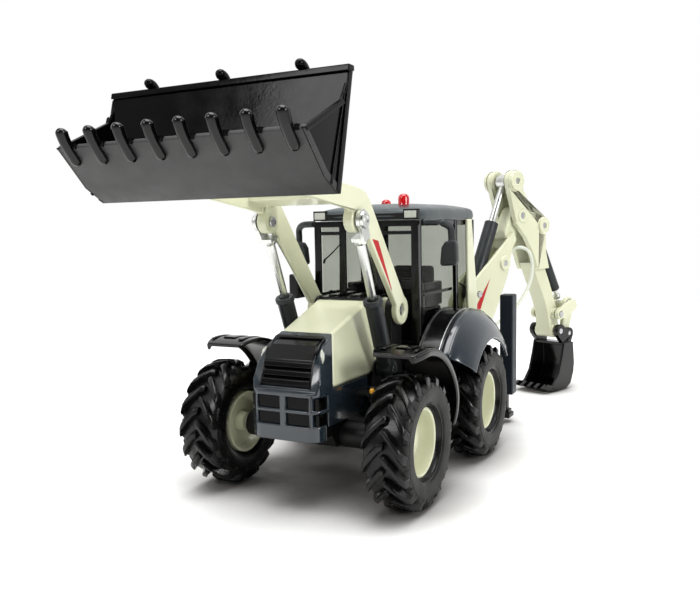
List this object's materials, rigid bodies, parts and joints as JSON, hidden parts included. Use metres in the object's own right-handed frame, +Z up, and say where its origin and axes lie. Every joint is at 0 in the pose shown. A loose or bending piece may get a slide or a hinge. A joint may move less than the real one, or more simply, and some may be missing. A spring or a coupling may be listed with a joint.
{
  "type": "toy backhoe loader",
  "caption": "Toy tractor with a raised front loader bucket, a glazed cab, lugged tyres, and a swinging digging arm with bucket and stabilizer legs behind.",
  "frame": {"origin": "on the ground, at the centre of the whole footprint", "axes": "+Y to the rear, where the digging arm is; +Z up; +X to the machine's left"},
  "size_m": [0.0586, 0.1913, 0.0894],
  "materials": {
    "cream_paint": "glossy enamel",
    "slate_paint": "glossy enamel",
    "grey_plastic": "satin moulded plastic",
    "black_plastic": "glossy moulded plastic",
    "tyre_rubber": "soft rubber",
    "plated_steel": "bright plated",
    "clear_panes": "clear moulded panes",
    "lamp_lens": "silvered lamp face",
    "red_lens": "translucent red",
    "hose_plastic": "soft pale hose"
  },
  "bodies": {
    "chassis": {"base_plate": "black_plastic", "chassis_frame": "black_plastic", "chassis_screws": "plated_steel", "nose_grille": "slate_paint", "grille_louvres": "black_plastic", "hood": "cream_paint", "cowl_panel": "black_plastic", "cab_tub": "black_plastic", "cab_frame": "black_plastic", "cab_glass": "clear_panes", "cab_roof": "grey_plastic", "rear_pillars": "cream_paint", "work_lights": "lamp_lens", "beacons": "red_lens", "mirrors": "grey_plastic", "wiper": "black_plastic", "dashboard": "black_plastic", "driver_seat": "grey_plastic", "steering_wheel": "black_plastic", "front_fender_left": "black_plastic", "front_fender_right": "black_plastic", "rear_fender_left": "slate_paint", "rear_fender_right": "slate_paint", "pivot_pins": "plated_steel", "rear_frame": "slate_paint"},
    "front_wheels": {"front_axle": "plated_steel", "rim_front_left": "cream_paint", "rim_front_right": "cream_paint", "tyre_front_left": "tyre_rubber", "tyre_front_right": "tyre_rubber"},
    "rear_wheels": {"rear_axle": "plated_steel", "rim_rear_left": "cream_paint", "rim_rear_right": "cream_paint", "tyre_rear_left": "tyre_rubber", "tyre_rear_right": "tyre_rubber"},
    "loader": {"loader_arms": "cream_paint", "arm_screws": "plated_steel"},
    "lift_cylinder_left": {"lift_barrel_left": "grey_plastic"},
    "lift_cylinder_right": {"lift_barrel_right": "grey_plastic"},
    "lift_piston_left": {"lift_rod_left": "plated_steel"},
    "lift_piston_right": {"lift_rod_right": "plated_steel"},
    "bucket": {"loader_bucket": "black_plastic", "bucket_pins": "plated_steel"},
    "leg_left": {"stabilizer_leg_left": "grey_plastic"},
    "leg_right": {"stabilizer_leg_right": "grey_plastic"},
    "swing": {"swing_bracket": "slate_paint", "boom_pins": "plated_steel"},
    "backhoe_boom": {"boom": "cream_paint", "boom_screws": "plated_steel", "hose": "hose_plastic"},
    "dipper_cylinder": {"stick_barrel": "grey_plastic"},
    "dipper_piston": {"stick_rod": "plated_steel"},
    "dipper_arm": {"dipper": "cream_paint", "dipper_screws": "plated_steel"},
    "bucket_cylinder": {"bucket_ram_barrel": "grey_plastic"},
    "bucket_piston": {"bucket_ram_rod": "plated_steel"},
    "rocker_arm": {"rocker": "cream_paint"},
    "coupling_link": {"bucket_link": "cream_paint"},
    "digging_bucket": {"hoe_bucket": "black_plastic", "hoe_pins": "plated_steel"}
  },
  "joints": [
    {"name": "front_axle_spin", "type": "hinge", "parent": "chassis", "child": "front_wheels", "pos_m": [0, -0.0472, 0.0145], "axis": [1, 0, 0], "continuous": true},
    {"name": "rear_axle_spin", "type": "hinge", "parent": "chassis", "child": "rear_wheels", "pos_m": [0, -0.0036, 0.0145], "axis": [1, 0, 0], "continuous": true},
    {"name": "loader_lift", "type": "hinge", "parent": "chassis", "child": "loader", "pos_m": [0, -0.0252, 0.0399], "axis": [1, 0, 0], "range_deg": [0, 50]},
    {"name": "lift_cylinder_left_tilt", "type": "hinge", "parent": "chassis", "child": "lift_cylinder_left", "pos_m": [0.0117, -0.0333, 0.027], "axis": [1, 0, 0], "range_deg": [-0.5, 43.53]},
    {"name": "lift_cylinder_right_tilt", "type": "hinge", "parent": "chassis", "child": "lift_cylinder_right", "pos_m": [-0.0117, -0.0333, 0.027], "axis": [1, 0, 0], "range_deg": [-0.5, 43.53]},
    {"name": "lift_piston_left_slide", "type": "slide", "parent": "lift_cylinder_left", "child": "lift_piston_left", "axis": [0, -0.382, 0.9242], "range_m": [-0.01257, 0.0002]},
    {"name": "lift_piston_right_slide", "type": "slide", "parent": "lift_cylinder_right", "child": "lift_piston_right", "axis": [0, -0.382, 0.9242], "range_m": [-0.01257, 0.0002]},
    {"name": "bucket_tilt", "type": "hinge", "parent": "loader", "child": "bucket", "pos_m": [0, -0.0764, 0.0696], "axis": [1, 0, 0], "range_deg": [-20, 80]},
    {"name": "leg_left_slide", "type": "slide", "parent": "chassis", "child": "leg_left", "axis": [0, 0, 1], "range_m": [-0.0014, 0.0044]},
    {"name": "leg_right_slide", "type": "slide", "parent": "chassis", "child": "leg_right", "axis": [0, 0, 1], "range_m": [-0.0014, 0.0044]},
    {"name": "backhoe_swing", "type": "hinge", "parent": "chassis", "child": "swing", "pos_m": [0, 0.0326, 0.024], "axis": [0, 0, 1], "range_deg": [-38, 82]},
    {"name": "boom_lift", "type": "hinge", "parent": "swing", "child": "backhoe_boom", "pos_m": [0.00375, 0.04187, 0.024], "axis": [0.9272, -0.3746, 0], "range_deg": [-25, 16]},
    {"name": "dipper_cylinder_tilt", "type": "hinge", "parent": "backhoe_boom", "child": "dipper_cylinder", "pos_m": [0.00532, 0.04577, 0.0375], "axis": [0.9272, -0.3746, 0], "range_deg": [-3.52, 6.55]},
    {"name": "dipper_piston_slide", "type": "slide", "parent": "dipper_cylinder", "child": "dipper_piston", "axis": [0.1574, 0.3896, 0.9074], "range_m": [-0.00491, 0.00255]},
    {"name": "dipper_swing", "type": "hinge", "parent": "backhoe_boom", "child": "dipper_arm", "pos_m": [0.01319, 0.06524, 0.0626], "axis": [0.9272, -0.3746, 0], "range_deg": [-15, 30]},
    {"name": "bucket_cylinder_tilt", "type": "hinge", "parent": "dipper_arm", "child": "bucket_cylinder", "pos_m": [0.01753, 0.07599, 0.0591], "axis": [0.9272, -0.3746, 0], "range_deg": [-1.35, 1]},
    {"name": "bucket_piston_slide", "type": "slide", "parent": "bucket_cylinder", "child": "bucket_piston", "axis": [0.1869, 0.4627, -0.8666], "range_m": [-0.0023, 0.00335]},
    {"name": "rocker_swing", "type": "hinge", "parent": "dipper_arm", "child": "rocker_arm", "pos_m": [0.02094, 0.08443, 0.0275], "axis": [0.9272, -0.3746, 0], "range_deg": [-23.83, 16.05]},
    {"name": "digging_bucket_curl", "type": "hinge", "parent": "dipper_arm", "child": "digging_bucket", "pos_m": [0.02098, 0.08452, 0.0214], "axis": [0.9272, -0.3746, 0], "range_deg": [-30, 20]},
    {"name": "coupling_link_swing", "type": "hinge", "parent": "digging_bucket", "child": "coupling_link", "pos_m": [0.02293, 0.08934, 0.0202], "axis": [0.9272, -0.3746, 0], "range_deg": [-14.01, 20.77]}
  ],
  "couplings": [
    {"joint": "lift_cylinder_left_tilt", "follows": "loader_lift", "ratio": 0.8606},
    {"joint": "lift_cylinder_right_tilt", "follows": "loader_lift", "ratio": 0.8606},
    {"joint": "lift_piston_left_slide", "follows": "loader_lift", "m_per_rad": -0.01418},
    {"joint": "lift_piston_right_slide", "follows": "loader_lift", "m_per_rad": -0.01418},
    {"joint": "dipper_cylinder_tilt", "follows": "dipper_swing", "ratio": 0.2016},
    {"joint": "dipper_piston_slide", "follows": "dipper_swing", "m_per_rad": -0.00899},
    {"joint": "bucket_cylinder_tilt", "follows": "digging_bucket_curl", "ratio": 0.0351},
    {"joint": "bucket_piston_slide", "follows": "digging_bucket_curl", "m_per_rad": -0.00601},
    {"joint": "rocker_swing", "follows": "digging_bucket_curl", "ratio": 0.7777},
    {"joint": "coupling_link_swing", "follows": "digging_bucket_curl", "ratio": -0.6755}
  ]
}
